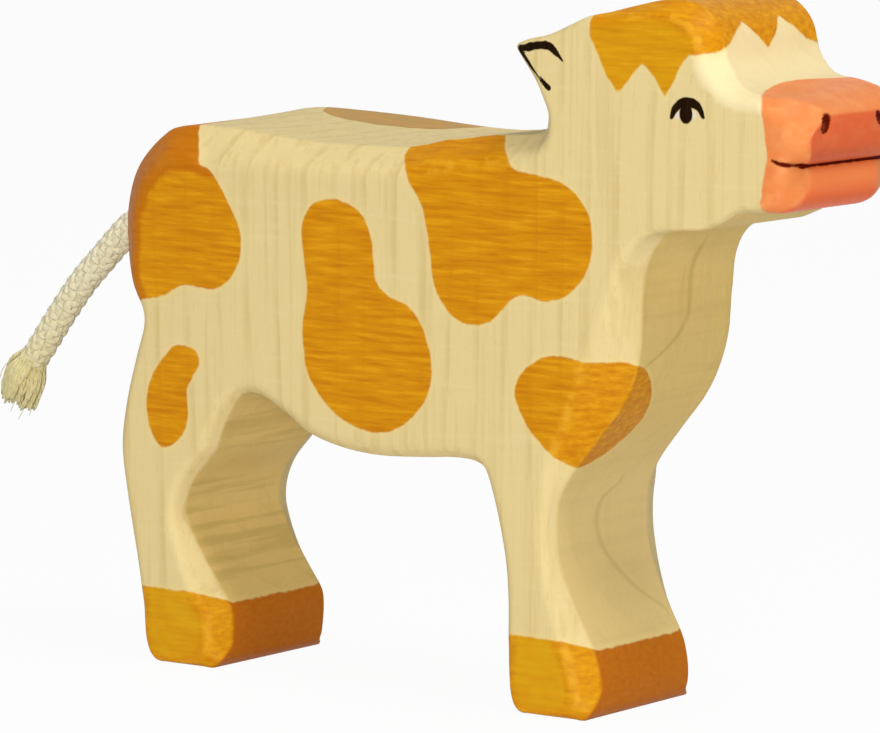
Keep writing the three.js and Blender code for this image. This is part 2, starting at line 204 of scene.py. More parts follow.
# Hooves: height of the painted band on the sides and in front, and where it starts to rise to the sides
HOOF_SIDE = 9.7
HOOF_FRONT = 8.3
HOOF_CORNER = 8.5
HOOF_ZONE = 2 * HOOF_SIDE
HOOF_BEVEL_GOLDEN = 0.3

# Muzzle: where its coral paint starts on the sides, under the chin, and over the nose at its middle
MUZZLE_SIDE = [
    (48, 60), (47.4, 65), (47.3, 67), (47.7, 69), (47.9, 70), (47.6, 72), (47.3, 74.5), (47, 76.4),
    (46.7, 80),
]
MUZZLE_CHIN = 47.0
MUZZLE_TOP = 43.4
MUZZLE_MIDDLE = 70.0
MUZZLE_END = 70.0
MUZZLE_ROOT = (38.0, 58.0)

# Lips: where their paint sinks in, and the painted shade that darkens the lower one towards its underside
LIPS_START = 45.0
LIPS_TOP = 74.95
LIP_TURN = 66.8
LIP_FADE = 1.8
LIP_UNDER_SHADE = 0.75

# Mouth line, as X, Z and half width along its stroke, and how far across its side and front parts reach
MOUTH_STROKE = [(48.6, 69.65, 0.1), (49.4, 69.35, 0.2), (50.3, 69.12, 0.24), (51.4, 69.0, 0.26)]
MOUTH_GAP = 0.42
MOUTH_SIDE = 8.4
MOUTH_FRONT = 9.2

# Nostrils: place across, height and lean, with a painted highlight low inside
NOSE_START = 50.0
NOSTRILS = [(-7.0, 73.75, 0.55), (5.0, 73.5, -0.55)]
NOSTRIL_SIZE = (0.95, 1.2)
NOSTRIL_DENT = 0.5
HIGHLIGHT_OFFSET = (-0.15, -0.3)
HIGHLIGHT_SIZE = (0.42, 0.6)

# Eye and ear lines, as X, Z and half width along each stroke. They reach over an edge by EDGE_BAND at most.
EDGE_BAND = 1.6
PUPIL = (36.4, 74.55)
PUPIL_SIZE = (0.98, 1.25)
LID_STROKE = [
    (34.31, 74.02, 0.22), (34.74, 74.87, 0.43), (35.48, 75.6, 0.58), (36.46, 75.9, 0.64),
    (37.52, 75.76, 0.6), (38.32, 75.19, 0.46), (38.87, 74.24, 0.24),
]
EYE_WHITES = [(35.2, 74.35), (37.6, 74.45)]
EYE_WHITE_SIZE = (0.36, 0.62)
EAR_TOP_STROKE = [
    (12.01, 81.45, 0.3), (13.2, 81.5, 0.46), (14.54, 81.73, 0.5), (16.02, 81.85, 0.48),
    (16.77, 81.6, 0.44), (17.58, 80.92, 0.34), (18.54, 80.04, 0.1),
]
EAR_BACK_STROKE = [
    (12.05, 81.25, 0.3), (12.9, 80.27, 0.24), (13.8, 79.22, 0.2), (14.75, 78.22, 0.21),
    (15.65, 77.35, 0.27), (16.45, 76.75, 0.3),
]

# Bare wood: the sawn face between the creases, its palest parts, and where saw marks fade
SAWN_FADE = 0.5
# How fast the warm painted shade leaves sawn faces that turn upwards
WARM_SHADE_LOSS = 2.5
FOREHEAD_START = 33.0
FOREHEAD_LOW = 73.0
LEG_FRONT = 12.0
CHEST_MARKS = 0.3
SHIN_TOP = 36.0
SHIN_FADE = 9.0
SHIN_PALE = 0.3

# Dark arcs on the sawn chest and front leg: height and place across, upwards
LEG_ARC = [(11.2, 8.4), (14, 4.4), (17, 1.5), (20, -0.6), (23, -1.5), (25.6, -0.6), (27.4, 2.4)]
CHEST_ARC = [(42.6, -8.4), (45.6, -2.5), (48.4, 0.7), (51, 1.4), (54, 1.2), (57.5, 1.8)]
ARC_FADE = 0.8

# Drilled hole for the tail. The body is opened a little inside its radius and then widened to it.
HOLE_RADIUS = 2.3
HOLE_DEPTH = 11.0
HOLE_OPENING = 0.95

# Tail route, as the CAD solid has it: from the pivot, in shares of its reach and drop
TAIL_REACH = 22.2
TAIL_DROP = 20.8
TAIL_ROUTE = [
    (0, 0), (0.086, 0.017), (0.172, 0.06), (0.254, 0.125), (0.422, 0.293), (0.59, 0.466), (0.772, 0.697),
    (0.935, 0.923), (1, 1),
]
ROUTE_STEPS = 24

# Tail cord: a braid of flat strands round a core, six wound each way
CORD_DIAMETER = 4.0
BRAID_PITCH = 10.8
STRANDS_EACH_WAY = 6
STRAND_HALF_WIDTH = 0.68
STRAND_HALF_THICKNESS = 0.42
STRAND_RIDGE = 0.06
STRAND_RIDGES = 3
STRAND_SIDES = 10
BRAID_WAVE = 0.12
BRAID_STEP = 0.27
CORE_RADIUS = 1.46

# Frayed end: loose yarns and a few thin wisps. Lengths and amounts with two values are drawn between them.
YARNS = 110
YARN_RADIUS = 0.36
YARN_LENGTH = 5.6
YARN_LENGTHS = (0.86, 1.08)
YARN_START = 0.9
YARN_DROOP = 1.6
DROOP_POWER = 1.5
YARN_OPENING = 0.5
YARN_SWIRL = 0.5
YARN_SWAY = 0.35
YARN_TAPER = 0.3
YARN_TIP = 0.45
YARN_SIDES = 8
YARN_STEPS = 12
FLARE_RADIUS = 3.2
WISPS = 10
WISP_RADIUS = 0.06
WISP_LENGTHS = (0.9, 1.25)
WISP_FLARE = 3.5

# Colours of wood, stain, paint, cotton and glue, as values on screen from 0 to 255
WOOD_PALE = (228, 206, 146)
WOOD_LATE = (204, 178, 112)
WOOD_RING = (188, 160, 82)
WOOD_FLECK = (233, 213, 158)
WOOD_PORE = (168, 138, 80)
WOOD_HALO = (238, 212, 140)
# Tint of the warm painted shade on sawn faces turned forward or down
WOOD_SHADE_WARMTH = (255, 245, 215)
# Paler wood on the forehead and low on the front legs
WOOD_PALEST = (246, 229, 182)
OCHRE = (211, 139, 3)
OCHRE_PALE = (224, 157, 14)
OCHRE_DEEP = (198, 121, 2)
OCHRE_GOLDEN = (217, 166, 16)
OCHRE_THIN = (180, 144, 76)
OCHRE_RUBBED = (232, 172, 44)
OCHRE_SUNK = (232, 200, 255)
CORAL = (235, 136, 72)
CORAL_PALE = (238, 149, 84)
CORAL_DEEP = (223, 106, 57)
CORAL_LIP = (254, 136, 72)
# Coral where it sinks in, and as painted shade under the lower lip
CORAL_SUNK_AND_SHADED = (240, 188, 188)
CORAL_RUBBED = (246, 176, 116)
EYE_WHITE = (226, 212, 196)
MOUTH_DARK = (95, 16, 2)
# Painted highlight low inside the nostrils
NOSTRIL_HIGHLIGHT = (150, 66, 36)
LINE_BLACK = (20, 11, 4)
LINE_BROWN = (40, 22, 6)
COTTON_PALE = (240, 232, 200)
COTTON_SHADED = (228, 218, 178)
COTTON_YELLOWED = (248, 243, 205)
# Painted shade in the grooves between the cotton's plies
COTTON_GROOVE_SHADE = (184, 172, 126)
COTTON_WARM = (228, 208, 158)
GLUE_PALE = (216, 190, 128)
GLUE_AMBER = (188, 150, 84)

# Wood grain: growth rings as wide arcs round a far-off pith, drifting a little, and calmer under the warm
# painted shade
PITH = (-150.0, 70.0, 0.0)
RING_PITCH = 3.9
RING_DRIFT = 1.6
ARC_DRIFT = 0.6
ARC_HALF_WIDTH = 0.9
WARM_SHADE_CALM = 0.65

# Paint: half width of its blurred edges in millimetres, how far they wander, and how much is rubbed off
PAINT_BLUR = {"ochre": 0.16, "coral": 0.2, "white": 0.12, "dark": 0.14, "nostril_highlight": 0.2, "black": 0.1}
EDGE_WOBBLE = 0.5
HALO_WIDTH = 0.9
RUBBED_SHARE = 0.55

# Sheen and relief of wood and paint
WOOD_SPECULAR = 0.12
LINE_MATTING = 0.1
OCHRE_COAT = 0.4
COAT_SMOOTHING = 0.12
WOOD_BUMP = (0.06, 0.6)

# Cotton: twist of its yarns, where it yellows along each strand, its sheen and its relief
YARN_TWIST_PITCH = 1.1
YARN_PLIES = 3.0
CORD_YELLOWING = (22.0, 60.0)
FRAY_YELLOWING = (-2.0, -1.0)
COTTON_FINISH = {"Specular IOR Level": 0.15, "Sheen Weight": 0.25, "Sheen Roughness": 0.6}
COTTON_BUMP_STRENGTH = 0.8
CORD_BUMP = 0.12
FRAY_BUMP = 0.1
GLUE_BUMP = (0.1, 0.4)

# Floor, lamps and world, in metres and watts. A lamp has a name, a direction to it and a power.
FLOOR_SIZE = 40.0
FLOOR_FINISH = {"Base Color": (0.77, 0.77, 0.77, 1.0), "Roughness": 0.9, "Specular IOR Level": 0.0}
FLOOR_WHITENESS = 0.955
LAMP_SIZE = 0.4
LAMP_DISTANCE = 1.2
LAMPS = [("side_lamp", (0.49, -0.85, 0.2), 9.2), ("top_lamp", (0.42, -0.05, 0.9), 7.0)]
WORLD_STRENGTH = 0.2
WHITE = (1.0, 1.0, 1.0, 1.0)


# Small helpers for numbers, meshes and curves
def millimetres(vector):
    return np.array(vector) / MM


def unit(vectors):
    return vectors / np.linalg.norm(vectors, axis=-1)[..., None]


def link(obj):
    bpy.context.scene.collection.objects.link(obj)
    return obj


def smooth_object(name, vertices, faces):
    mesh = bpy.data.meshes.new(name)
    mesh.from_pydata((vertices * MM).tolist(), [], faces)
    mesh.update()
    mesh.polygons.foreach_set("use_smooth", [True] * len(mesh.polygons))
    return link(bpy.data.objects.new(name, mesh))


def add_attributes(obj, fields):
    for label, values in fields.items():
        obj.data.attributes.new(label, "FLOAT", "POINT").data.foreach_set("value", values)


# A curve through points, closed or open, with so many steps between each two
def catmull_rom(points, steps, closed):
    points = np.asarray(points, dtype=float)
    if closed:
        padded = np.vstack([points[-1], points, points[:2]])
    else:
        padded = np.vstack([2 * points[0] - points[1], points, 2 * points[-1] - points[-2]])
    before, starts, after, later = padded[:-3], padded[1:-2], padded[2:-1], padded[3:]
    rows = []
    for step in range(steps):
        t = step / steps
        rows.append(0.5 * (
            2 * starts + (after - before) * t
            + (2 * before - 5 * starts + 4 * after - later) * t ** 2
            + (3 * starts - before - 3 * after + later) * t ** 3
        ))
    curve = np.stack(rows, 1).reshape(len(starts) * steps, -1)
    return curve if closed else np.vstack([curve, points[-1:]])


# Signed distance from points to a closed polygon, negative inside
def polygon_distance(points, polygon):
    polygon = np.asarray(polygon, dtype=float)
    result = np.full(len(points), PAINT_REACH)
    low, high = polygon.min(0) - PAINT_REACH, polygon.max(0) + PAINT_REACH
    close = np.all((points > low) & (points < high), axis=1)
    picked = points[close]
    best = np.full(len(picked), PAINT_REACH ** 2)
    inside = np.zeros(len(picked), dtype=bool)
    for a, b in zip(polygon, np.roll(polygon, -1, 0)):
        along = b - a
        if not along.any():
            continue
        offset = picked - a
        share = np.clip(offset @ along / (along @ along), 0.0, 1.0)
        gap = offset - share[:, None] * along
        best = np.minimum(best, np.sum(gap ** 2, axis=1))
        crosses = (a[1] > picked[:, 1]) != (b[1] > picked[:, 1])
        if crosses.any():
            inside ^= crosses & (offset[:, 0] < along[0] * offset[:, 1] / along[1])
    result[close] = np.where(inside, -np.sqrt(best), np.sqrt(best))
    return result


# Signed distance from points to a painted stroke, whose half width changes along it
def stroke_distance(points, stroke):
    best = np.full(len(points), PAINT_REACH)
    curve = catmull_rom(stroke, STROKE_STEPS, closed=False)
    for (*a, wide_a), (*b, wide_b) in zip(curve, curve[1:]):
        along = np.subtract(b, a)
        offset = points - a
        share = np.clip(offset @ along / (along @ along), 0.0, 1.0)
        gap = np.linalg.norm(offset - share[:, None] * along, axis=1)
        best = np.minimum(best, gap - (wide_a + (wide_b - wide_a) * share))
    return best


# Signed distance from points to an upright oval
def oval_distance(points, centre, size):
    return (np.linalg.norm((points - centre) / size, axis=1) - 1.0) * min(size)


# Camera first, then the pieces
def add_camera():
    level = math.cos(CAMERA_ELEVATION)
    ahead, aside = level * math.cos(CAMERA_AZIMUTH), level * math.sin(CAMERA_AZIMUTH)
    back = Vector((aside, -ahead, math.sin(CAMERA_ELEVATION)))
    data = bpy.data.cameras.new("camera")
    data.sensor_fit = "HORIZONTAL"
    data.sensor_width = SENSOR_WIDTH
    data.lens = FOCAL_PIXELS * SENSOR_WIDTH / IMAGE_WIDTH
    data.clip_start, data.clip_end = CLIP_RANGE
    camera = link(bpy.data.objects.new("camera", data))
    camera.location = (Vector(CAMERA_TARGET) + back * CAMERA_DISTANCE) * MM
    camera.rotation_euler = back.to_track_quat("Z", "Y").to_euler()
    bpy.context.scene.camera = camera


add_camera()


# One side of the sawn block, read from the CAD node: the edge of its face, and the crease beyond its bevel
def read_side(bm, level):
    side = {f for f in bm.faces if all(abs(v.co.y - level) < SAME_LEVEL for v in f.verts)}
    rim = [e for e in bm.edges if sum(f in side for f in e.link_faces) == 1]
    beside = {}
    for e in rim:
        for v in e.verts:
            beside.setdefault(v, []).append(e.other_vert(v))
    loop = [rim[0].verts[0], rim[0].verts[1]]
    while len(loop) < len(rim):
        loop.append(next(v for v in beside[loop[-1]] if v is not loop[-2]))
    outer = []
    for v in loop:
        others = [e.other_vert(v) for e in v.link_edges]
        outer.append({other for other in others if abs(other.co.y - level) > SAME_LEVEL})
    shared = [(here & after).pop() for here, after in zip(outer, outer[1:] + outer[:1])]
    pairings = (shared, shared[-1:] + shared[:-1])
    beyond = min(pairings, key=lambda ring: sum((o.co - v.co).length for o, v in zip(ring, loop)))
    face_edge = millimetres([v.co for v in loop])
    crease = millimetres([v.co for v in beyond])
    x, z = face_edge[:, 0], face_edge[:, 2]
    anticlockwise = np.sum(x * np.roll(z, -1) - np.roll(x, -1) * z) > 0
    return (face_edge, crease) if anticlockwise else (face_edge[::-1], crease[::-1])


# Softens an edge of a side face where the outline turns sharply
def ease_edge(face_edge, crease):
    flat = crease[:, [0, 2]]
    turns = (MOUTH_NOTCH, CHEST_POINT, HIND_TOE, FRONT_TOE)
    sharp = np.min([np.linalg.norm(flat - place, axis=1) for place in turns], axis=0)
    ease = np.where(sharp < BLEND_REACH, 1.0, BLEND_ELSEWHERE)[:, None]
    for _ in range(BLEND_PASSES):
        between = (np.roll(face_edge, 1, 0) + np.roll(face_edge, -1, 0)) / 2
        face_edge = face_edge + ease * (between - face_edge) / 2
    return face_edge


# The block's four edges, in step with each other: near face, near crease, far crease and far face
def read_block():
    bm = bmesh.new()
    bm.from_mesh(frame["nodes"]["wooden_body"].data)
    bmesh.ops.remove_doubles(bm, verts=bm.verts, dist=WELD)
    low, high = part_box("wooden_body")
    near_face, near_crease = read_side(bm, low[1])
    far_face, far_crease = read_side(bm, high[1])
    bm.free()

    def apart(shift):
        return np.sum((np.roll(far_crease, shift, 0) - near_crease) ** 2)

    shift = min(range(len(far_crease)), key=apart)
    far_face, far_crease = np.roll(far_face, shift, 0), np.roll(far_crease, shift, 0)
    near_face, far_face = ease_edge(near_face, near_crease), ease_edge(far_face, far_crease)
    edges = np.column_stack([near_face, near_crease, far_crease, far_face])
    fine = catmull_rom(edges, OUTLINE_SPLIT, closed=True)
    return np.split(fine, 4, axis=1)


NEAR_FACE, NEAR_CREASE, FAR_CREASE, FAR_FACE = read_block()
HALF_PLANK = -NEAR_FACE[0, 1]
COLUMNS = len(NEAR_FACE)


# Radius of each of the four sanded corners, for every column of the outline
def corner_radii(lengths):
    along, height = NEAR_CREASE[:, 0], NEAR_CREASE[:, 2]
    muzzle = along > MUZZLE_START
    lip = muzzle & ((height < MOUTH_NOTCH[1]) | (height > NOSE_RIDGE))
    back = (height > BACK_LOW) & (along < BACK_END)
    crisp = np.where(lip, LIP_RADIUS, CORNER_RADIUS)
    soft = np.select([muzzle, back], [MUZZLE_RADIUS, BACK_RADIUS], FACE_RADIUS)
    room = CORNER_ROOM * np.minimum(lengths[0], lengths[-1])
    return [np.minimum(wanted, room)[:, None] for wanted in (soft, crisp, crisp, soft)]


# Rows of the rim from the near face to the far one. With them come the distance along each column, the
# radius at the side faces, and how much each row lies on a worn corner.
def rim_rows():
    def rounded(start, corner, end):
        shares = np.arange(CORNER_STEPS) / CORNER_STEPS
        return [(1 - t) ** 2 * start + 2 * t * (1 - t) * corner + t ** 2 * end for t in shares]

    def between(start, end, steps):
        return [start + (end - start) * step / steps for step in range(steps)]

    flat = np.array([1.0, 0.0, 1.0])
    corners = [NEAR_FACE, NEAR_CREASE, FAR_CREASE, FAR_FACE]
    spans = [b - a for a, b in zip(corners, corners[1:])]
    radii = corner_radii([np.linalg.norm(span, axis=1) for span in spans])
    ways = [unit(way) for way in (spans[0] * flat, *spans, spans[-1] * flat)]
    rows = []
    for index, corner in enumerate(corners):
        before, after = ways[index], ways[index + 1]
        leaving = corner + radii[index] * after
        rows += rounded(corner - radii[index] * before, corner, leaving)
        if index < len(SPAN_STEPS):
            arriving = corners[index + 1] - radii[index + 1] * after
            rows += between(leaving, arriving, SPAN_STEPS[index])
    rows.append(FAR_FACE + radii[-1] * ways[-1])
    rows = np.array(rows)
    steps = np.linalg.norm(np.diff(rows, axis=0), axis=2)
    travelled = np.vstack([np.zeros(COLUMNS), np.cumsum(steps, axis=0)])
    wear = np.sin(np.pi * np.arange(CORNER_STEPS) / CORNER_STEPS)
    row_wear = np.concatenate([part for count in (*SPAN_STEPS, 1) for part in (wear, np.zeros(count))])
    return rows, travelled, radii[0][:, 0], row_wear


# Points in rows, each row shifted by half a pitch
def lattice(low, high, pitch):
    points = []
    for index, z in enumerate(np.arange(low[1], high[1], pitch * math.sqrt(3) / 2)):
        xs = np.arange(low[0] + (index % 2) * pitch / 2, high[0], pitch)
        points.append(np.column_stack([xs, np.full(len(xs), z)]))
    return np.vstack(points)


# A side of the block: points within the rim's first or last row, and triangles between them
def side_mesh(rim):
    grid = lattice(rim.min(0), rim.max(0), SIDE_GRID)
    groups = []
    for low, high in FINE_PATCHES:
        grid = grid[~np.all((grid > low) & (grid < high), axis=1)]
        fine = lattice(low, high, FINE_GRID)
        groups.append(fine[polygon_distance(fine, rim) < -FINE_GRID_CLEAR])
    inner = np.vstack([grid[polygon_distance(grid, rim) < -SIDE_GRID_CLEAR], *groups])
    points = np.vstack([rim, inner])
    outline = [(i, (i + 1) % len(rim)) for i in range(len(rim))]
    filled = delaunay_2d_cdt([Vector(p) for p in points], outline, [], 0, SAME_POINT, True)
    faces, originals = filled[2], filled[3]
    source = np.array([o[0] for o in originals])
    triangles = source[np.array(faces)]
    within = polygon_distance(points[triangles].mean(axis=1), rim) < 0.0
    return inner, triangles[within].tolist()


# Body mesh: rim rows, then the near side's inner points, then the far side's
def make_body():
    rows, travelled, radius, row_wear = rim_rows()
    count = len(rows)
    vertices = [rows.reshape(-1, 3)]
    faces = []
    for row in range(count - 1):
        for column in range(COLUMNS):
            a, b = row * COLUMNS + column, row * COLUMNS + (column + 1) % COLUMNS
            faces.append((a, a + COLUMNS, b + COLUMNS, b))
    inners = []
    for row, turn in ((0, 1), (count - 1, -1)):
        inner, triangles = side_mesh(rows[row][:, [0, 2]])
        start = sum(len(group) for group in vertices) - COLUMNS
        for triangle in triangles:
            faces.append(tuple(row * COLUMNS + i if i < COLUMNS else start + i for i in triangle[::turn]))
        vertices.append(np.column_stack([inner[:, 0], np.full(len(inner), rows[row][0, 1]), inner[:, 1]]))
        inners.append(inner)

    # Each rim point unrolled onto the plane of a side, for paint that runs over its edge
    def unrolled(face, crease, run):
        outward = unit((crease - face)[:, [0, 2]])
        return (face[:, [0, 2]][None] + (run - radius)[..., None] * outward[None]).reshape(-1, 2)

    near_in, far_in = inners
    near_rim = unrolled(NEAR_FACE, NEAR_CREASE, travelled)
    far_rim = unrolled(FAR_FACE, FAR_CREASE, travelled[-1] - travelled)
    near_chart = np.vstack([near_rim, near_in, np.full(far_in.shape, OFF_CHART)])
    far_chart = np.vstack([far_rim, np.full(near_in.shape, OFF_CHART), far_in])
    vertices = np.vstack(vertices)
    on_rim = np.arange(len(vertices)) < count * COLUMNS
    wear = np.zeros(len(vertices))
    wear[on_rim] = np.repeat(row_wear, COLUMNS)
    return vertices, faces, near_chart, far_chart, on_rim, wear


body_points, body_faces, near_chart, far_chart, on_rim, corner_wear = make_body()
body_xz = body_points[:, [0, 2]]


# A value of each column of the outline, given to all its rim points
def along_rim(per_column):
    values = np.zeros(len(body_points))
    values[on_rim] = np.tile(per_column, on_rim.sum() // COLUMNS)
    return values


# How far each rim point lies past the near crease and short of the far one
past_near_crease = np.where(on_rim, body_points[:, 1] - along_rim(NEAR_CREASE[:, 1]), 0.0)
before_far_crease = np.where(on_rim, along_rim(FAR_CREASE[:, 1]) - body_points[:, 1], 0.0)


# Ochre stain: spots, rump, forelock and hooves
def ochre_distance():
    x, y, z = body_points.T
    on_back = on_rim & (z > BACK_TOP)
    over_top = np.where(on_back, past_near_crease, -PAINT_REACH)
    top_spot = np.interp(x, *zip(*BACK_SPOT_EDGE)) - y
    slant = RUMP_LEAN * np.clip(y + HALF_PLANK, 0.0, RUMP_LEAN_END)
    behind = np.maximum(x + slant - RUMP_FRONT, RUMP_LOW - z)
    ochre = np.full(len(x), PAINT_REACH)
    near = (near_chart, NEAR_SPOTS, NEAR_RUMP, -HALF_PLANK)
    far = (far_chart, FAR_SPOTS, FAR_RUMP, HALF_PLANK)
    for chart, spots, rump, level in (near, far):
        over = np.clip(np.abs(y - level) / PAINT_OVERLAP, 0.0, 1.0)
        for label, points in spots.items():
            spot = polygon_distance(chart, catmull_rom(points, CURVE_STEPS, closed=True))
            if label == "shoulder" and chart is near_chart:
                spot = np.maximum(spot, over_top)
            if label == "saddle":
                spot = np.where(on_back, top_spot * over + spot * (1.0 - over), spot)
            ochre = np.minimum(ochre, np.where(z < HEAD_BASE, spot, PAINT_REACH))
        side_rump = polygon_distance(chart, catmull_rom(rump, CURVE_STEPS, closed=True))
        rounded_rump = behind * over + side_rump * (1.0 - over)
        rounded_rump = np.where((y < 0.0) == (level < 0.0), rounded_rump, PAINT_REACH)
        ochre = np.minimum(ochre, np.where(on_rim, rounded_rump, side_rump))
    zigzag = np.interp(y, *zip(*LOCK_FRONT))
    lock_front = np.maximum(LOCK_SLANT * (zigzag - z), LOCK_BACK - x)
    lock_front = np.where(z > LOCK_LOW, lock_front, PAINT_REACH)
    ochre = np.minimum(ochre, np.where(on_rim, lock_front, polygon_distance(body_xz, LOCK_SIDE)))
    sideways = np.clip((np.abs(y) - HOOF_CORNER) / (HALF_PLANK - HOOF_CORNER), 0.0, 1.0)
    return np.minimum(ochre, z - HOOF_FRONT - (HOOF_SIDE - HOOF_FRONT) * sideways)


# Coral paint of the muzzle
def coral_distance():
    x, y, z = body_points.T
    boundary = catmull_rom(MUZZLE_SIDE, MUZZLE_STEPS, closed=False)
    muzzle = np.vstack([boundary, [(MUZZLE_END, boundary[-1][1]), (MUZZLE_END, boundary[0][1])]])
    over_nose = MUZZLE_TOP + (MUZZLE_CHIN - MUZZLE_TOP) * (y / HALF_PLANK) ** 2
    start = np.where(z > MUZZLE_MIDDLE, over_nose, MUZZLE_CHIN)
    around = (x > MUZZLE_ROOT[0]) & (z > MUZZLE_ROOT[1])
    return np.where(on_rim, np.where(around, start - x, PAINT_REACH), polygon_distance(body_xz, muzzle))


# The nearer of two ovals that lean with the nostrils, set off from their middles
def nostril_distance(offset, size):
    _, y, z = body_points.T
    nearest = np.full(len(y), PAINT_REACH)
    for across, height, lean in NOSTRILS:
        upright = np.column_stack([y - across - lean * (z - height), z - height])
        nearest = np.minimum(nearest, oval_distance(upright, offset, size))
    return nearest


nose = on_rim & (body_points[:, 0] > NOSE_START)
nostril = nostril_distance((0.0, 0.0), NOSTRIL_SIZE)


# Dark paint: the mouth on the sides and across the front, and the nostrils
def dark_distance():
    x, y, _ = body_points.T
    mouth = stroke_distance(body_xz, MOUTH_STROKE)
    dark = np.where(np.abs(y) > MOUTH_SIDE, mouth, PAINT_REACH)
    gap = np.linalg.norm(body_xz - MOUTH_NOTCH, axis=1) - MOUTH_GAP
    front = on_rim & (np.abs(y) < MOUTH_FRONT) & (x > MUZZLE_START)
    dark = np.where(front, np.minimum(dark, gap), dark)
    return np.where(nose, np.minimum(dark, nostril), dark)


# Black lines of the ears and eyelids with the pupils, and the whites beside these
def line_distances():
    aside = np.abs(body_points[:, 1]) > HALF_PLANK - EDGE_BAND
    black = oval_distance(body_xz, PUPIL, PUPIL_SIZE)
    for stroke in (EAR_TOP_STROKE, EAR_BACK_STROKE, LID_STROKE):
        black = np.minimum(black, stroke_distance(body_xz, stroke))
    white = np.minimum(*(oval_distance(body_xz, place, EYE_WHITE_SIZE) for place in EYE_WHITES))
    return np.where(aside, black, PAINT_REACH), np.where(aside, white, PAINT_REACH)


# Dark arcs: distance across the plank, which counts for more past the ends of an arc
def arc_distance():
    x, y, z = body_points.T
    rings = np.full(len(x), PAINT_REACH)
    for ring in (LEG_ARC, CHEST_ARC):
        heights, places = catmull_rom(ring, CURVE_STEPS, closed=False).T
        beyond = np.maximum(np.maximum(heights[0] - z, z - heights[-1]), 0.0)
        across = (y - np.interp(z, heights, places)) * (1.0 + beyond / ARC_FADE) ** 2
        rings = np.where(on_rim & (x > LEG_FRONT) & (beyond < 2 * ARC_FADE), across, rings)
    return rings


# Tones as shares. The sawn face takes a warm painted shade where it faces forward or down, and paint sinks
# deeper into it. The lower lip takes painted shade towards its underside.
def tone_shares():
    x, y, z = body_points.T
    within = np.minimum(past_near_crease, before_far_crease)
    sawn = np.where(on_rim, np.clip(0.5 + within / SAWN_FADE, 0.0, 1.0), 0.0)
    outward_z = along_rim(unit(NEAR_CREASE - NEAR_FACE)[:, 2])
    facing_up = np.where(z > SHIN_TOP, np.maximum(outward_z, 0.0), 0.0)
    # Warm painted shade on sawn faces turned forward or down
    warm_shade = sawn * np.clip(1.0 - WARM_SHADE_LOSS * facing_up, 0.0, 1.0)
    forehead = on_rim & (x > FOREHEAD_START) & (z > FOREHEAD_LOW)
    shin = np.where(x > LEG_FRONT, SHIN_PALE * sawn * np.clip((SHIN_TOP - z) / SHIN_FADE, 0.0, 1.0), 0.0)
    hoof = z < HOOF_ZONE
    lips = (x > LIPS_START) & (z < LIPS_TOP)
    upper_lip = lips & (z > MOUTH_NOTCH[1])
    lower_lip = lips & ~upper_lip
    # Painted shade: the lower lip darkens towards its underside
    lip_under_shade = LIP_UNDER_SHADE * np.clip((LIP_TURN - z) / LIP_FADE, 0.0, 1.0)
    sunk_and_shaded = np.select([hoof | upper_lip, lower_lip], [1.0, lip_under_shade], 0.0)
    croup = (x < RUMP_FRONT + RUMP_LEAN_END) & (z > RUMP_LOW)
    back_spot = ~croup & (y > 0.0) & (x < BACK_SPOT_EDGE[-1][0]) & (z > BACK_TOP)
    lock = (x > LOCK_BACK) & (z > HEAD_BASE)
    golden = np.select([hoof & ~on_rim, hoof, lock & ~on_rim], [1.0, HOOF_BEVEL_GOLDEN, LOCK_GOLDEN], 0.0)
    return {
        "warm_shade": warm_shade,
        # Paint sinks deeper into the sawn hooves and upper lip, the rump's rim is darker, and the lower lip
        # takes painted shade
        "soak_and_shade": np.where(on_rim & croup, RUMP_DARKENING, sawn * sunk_and_shaded),
        "pale": np.maximum(np.where(forehead, 1.0, 0.0), shin),
        "golden": (1.0 - sawn) * golden,
        "thin": np.where(back_spot, sawn, 0.0),
        "worn": corner_wear,
        "marks": warm_shade * np.where(x < LEG_FRONT, 1.0, CHEST_MARKS),
        "rosy": np.where(lower_lip, sawn, 0.0),
    }


# Signed distance to each paint and to the painted highlight in the nostrils, negative where it covers the
# body, and to the dark arcs
def paint_distances():
    black, white = line_distances()
    return {
        "ochre": ochre_distance(),
        "coral": coral_distance(),
        "dark": dark_distance(),
        # A painted highlight low inside each nostril
        "nostril_highlight": np.where(nose, nostril_distance(HIGHLIGHT_OFFSET, HIGHLIGHT_SIZE), PAINT_REACH),
        "black": black,
        "white": white,
        "rings": arc_distance(),
    }


paint = {**paint_distances(), **tone_shares()}
body_points[:, 0] -= np.where(nose, NOSTRIL_DENT * np.sqrt(np.clip(-nostril, 0.0, 1.0)), 0.0)
body = smooth_object("calf_body", body_points, body_faces)
add_attributes(body, paint)


# Drilled hole for the tail, cut into the rump
def drill_tail_hole():
    bm = bmesh.new()
    bm.from_mesh(body.data)
    height = frame["joints"][0]["pos_m"][2]
    rump, behind = (corner[0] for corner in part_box("tail_root"))

    def from_axis(v):
        return math.hypot(v.co.y, v.co.z - height)

    opening = HOLE_OPENING * HOLE_RADIUS * MM
    cut = [v for v in bm.verts if v.co.x < behind and from_axis(v) < opening]
    bmesh.ops.delete(bm, geom=cut, context="VERTS")
    lip = [e for e in bm.edges if e.is_boundary]
    for v in {v for e in lip for v in e.verts}:
        grow = HOLE_RADIUS * MM / from_axis(v)
        v.co.y *= grow
        v.co.z = height + (v.co.z - height) * grow
    wall = bmesh.ops.extrude_edge_only(bm, edges=lip)["geom"]
    for v in wall:
        if isinstance(v, bmesh.types.BMVert):
            v.co.x = rump + HOLE_DEPTH * MM
    bmesh.ops.holes_fill(bm, edges=[e for e in bm.edges if e.is_boundary], sides=0)
    bmesh.ops.recalc_face_normals(bm, faces=bm.faces)
    bm.to_mesh(body.data)
    bm.free()


drill_tail_hole()


